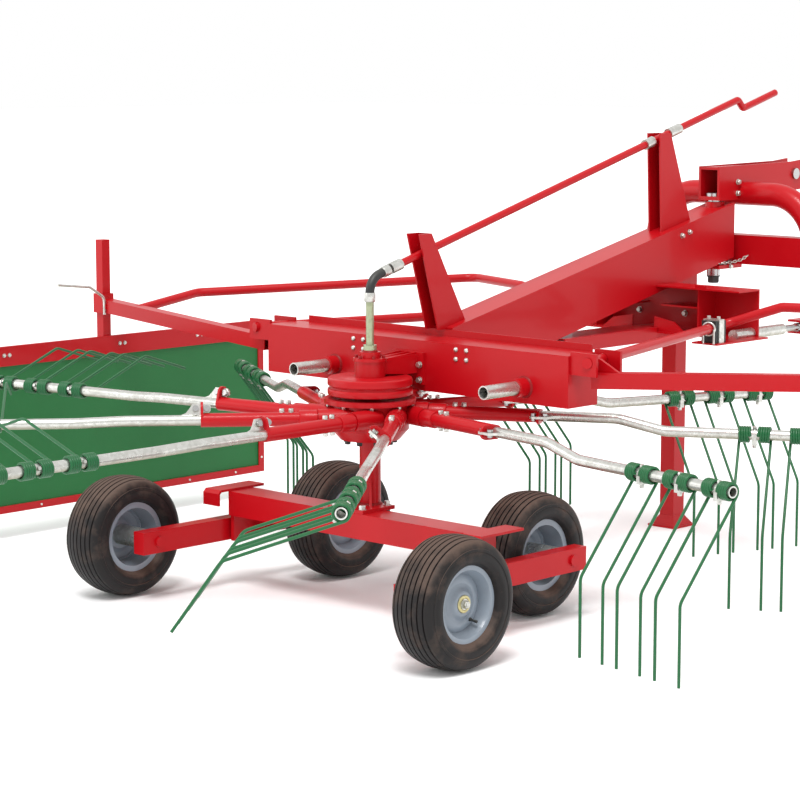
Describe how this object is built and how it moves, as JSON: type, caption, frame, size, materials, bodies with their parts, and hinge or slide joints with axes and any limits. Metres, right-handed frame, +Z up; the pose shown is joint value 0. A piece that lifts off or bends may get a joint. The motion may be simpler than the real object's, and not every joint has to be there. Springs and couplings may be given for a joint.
{
  "type": "single rotor hay rake",
  "caption": "Towed single rotor rake with tine arms, tandem running gear, folding guards, swath curtain and parking stand.",
  "frame": {"origin": "ground level below the centre of the machine's plan, wheels and stand resting on z = 0", "axes": "+Y the way it is towed, +X its right side, +Z up"},
  "size_m": [3.5424, 4.0072, 1.6729],
  "materials": {
    "red_paint": "gloss",
    "green_paint": "satin",
    "grey_paint": "satin",
    "zinc": "satin",
    "machined_steel": "satin",
    "tyre": "matte",
    "black_rubber": "matte",
    "green_cloth": "matte"
  },
  "bodies": {
    "frame": {"rotor_cap": "red_paint", "gearbox": "red_paint", "cross_beam": "red_paint", "main_beam": "red_paint", "front_bracket": "red_paint", "drive_tunnel": "red_paint", "input_shaft": "machined_steel", "crank_posts": "red_paint", "crank": "red_paint", "crank_bushes": "zinc", "crank_elbow": "black_rubber", "spindle_tube": "zinc", "arm_holders": "zinc", "holder_bosses": "red_paint", "strut_barrels": "zinc", "rest_blocks": "black_rubber", "rest_straps": "zinc"},
    "headstock": {"headstock_arch": "red_paint", "headstock_tie": "red_paint", "top_box": "red_paint", "kingpin": "machined_steel", "hitch_pins": "machined_steel"},
    "stand": {"stand": "red_paint"},
    "strut_left": {"strut_rod_left": "machined_steel"},
    "strut_right": {"strut_rod_right": "machined_steel"},
    "rotor": {"rotor_hub": "red_paint", "arm_shafts": "red_paint", "arm_tubes": "zinc", "arm_pins": "machined_steel", "tine_clamps": "zinc", "tines": "green_paint"},
    "axle": {"axle_beam": "red_paint", "mast": "red_paint"},
    "rocker_left": {"rocker_left": "red_paint"},
    "rocker_right": {"rocker_right": "red_paint"},
    "guard_left": {"guard_bar_left": "red_paint", "guard_loop_left": "red_paint", "curtain_lever": "zinc"},
    "guard_right": {"guard_bar_right": "red_paint", "guard_loop_right": "red_paint"},
    "curtain": {"curtain_frame": "red_paint", "curtain_cloth": "green_cloth", "curtain_post": "red_paint"},
    "wheel_rear_left": {"tyre_rear_left": "tyre", "rim_rear_left": "grey_paint", "wheel_hub_rear_left": "zinc"},
    "wheel_front_left": {"tyre_front_left": "tyre", "rim_front_left": "grey_paint", "wheel_hub_front_left": "zinc"},
    "wheel_rear_right": {"tyre_rear_right": "tyre", "rim_rear_right": "grey_paint", "wheel_hub_rear_right": "zinc"},
    "wheel_front_right": {"tyre_front_right": "tyre", "rim_front_right": "grey_paint", "wheel_hub_front_right": "zinc"}
  },
  "joints": [
    {"name": "headstock_swivel", "type": "hinge", "parent": "frame", "child": "headstock", "pos_m": [0.08217, 1.47864, 1.14], "axis": [0, 0, 1], "range_deg": [-12, 12]},
    {"name": "strut_left_slide", "type": "slide", "parent": "frame", "child": "strut_left", "axis": [0, 1, 0], "range_m": [-0.085, 0.085]},
    {"name": "strut_right_slide", "type": "slide", "parent": "frame", "child": "strut_right", "axis": [0, 1, 0], "range_m": [-0.085, 0.085]},
    {"name": "stand_slide", "type": "slide", "parent": "headstock", "child": "stand", "axis": [0, 0, 1], "range_m": [0, 0.58]},
    {"name": "rotor_spin", "type": "hinge", "parent": "frame", "child": "rotor", "pos_m": [0.08217, -0.38136, 0.646], "axis": [0, 0, 1], "continuous": true},
    {"name": "axle_height", "type": "slide", "parent": "frame", "child": "axle", "axis": [0, 0, 1], "range_m": [-0.045, 0.05]},
    {"name": "rocker_left_tilt", "type": "hinge", "parent": "axle", "child": "rocker_left", "pos_m": [-0.51383, -0.44536, 0.203], "axis": [1, 0, 0], "range_deg": [-8, 8]},
    {"name": "rocker_right_tilt", "type": "hinge", "parent": "axle", "child": "rocker_right", "pos_m": [0.67817, -0.44536, 0.203], "axis": [1, 0, 0], "range_deg": [-8, 8]},
    {"name": "wheel_rear_left_roll", "type": "hinge", "parent": "rocker_left", "child": "wheel_rear_left", "pos_m": [-0.66983, -0.80136, 0.203], "axis": [1, 0, 0], "continuous": true},
    {"name": "wheel_front_left_roll", "type": "hinge", "parent": "rocker_left", "child": "wheel_front_left", "pos_m": [-0.35783, -0.08936, 0.203], "axis": [1, 0, 0], "continuous": true},
    {"name": "wheel_rear_right_roll", "type": "hinge", "parent": "rocker_right", "child": "wheel_rear_right", "pos_m": [0.83417, -0.80136, 0.203], "axis": [1, 0, 0], "continuous": true},
    {"name": "wheel_front_right_roll", "type": "hinge", "parent": "rocker_right", "child": "wheel_front_right", "pos_m": [0.52217, -0.08936, 0.203], "axis": [1, 0, 0], "continuous": true},
    {"name": "guard_left_fold", "type": "hinge", "parent": "frame", "child": "guard_left", "pos_m": [-0.65283, -0.13136, 0.858], "axis": [0.2857, 0.9583, 0], "range_deg": [0, 85]},
    {"name": "guard_right_fold", "type": "hinge", "parent": "frame", "child": "guard_right", "pos_m": [0.81717, -0.13136, 0.858], "axis": [0.2857, -0.9583, 0], "range_deg": [0, 85]},
    {"name": "curtain_height", "type": "slide", "parent": "guard_left", "child": "curtain", "axis": [0, 0, 1], "range_m": [-0.05, 0.08]}
  ],
  "couplings": [
    {"joint": "strut_left_slide", "follows": "headstock_swivel", "m_per_rad": -0.4},
    {"joint": "strut_right_slide", "follows": "headstock_swivel", "m_per_rad": 0.4}
  ]
}
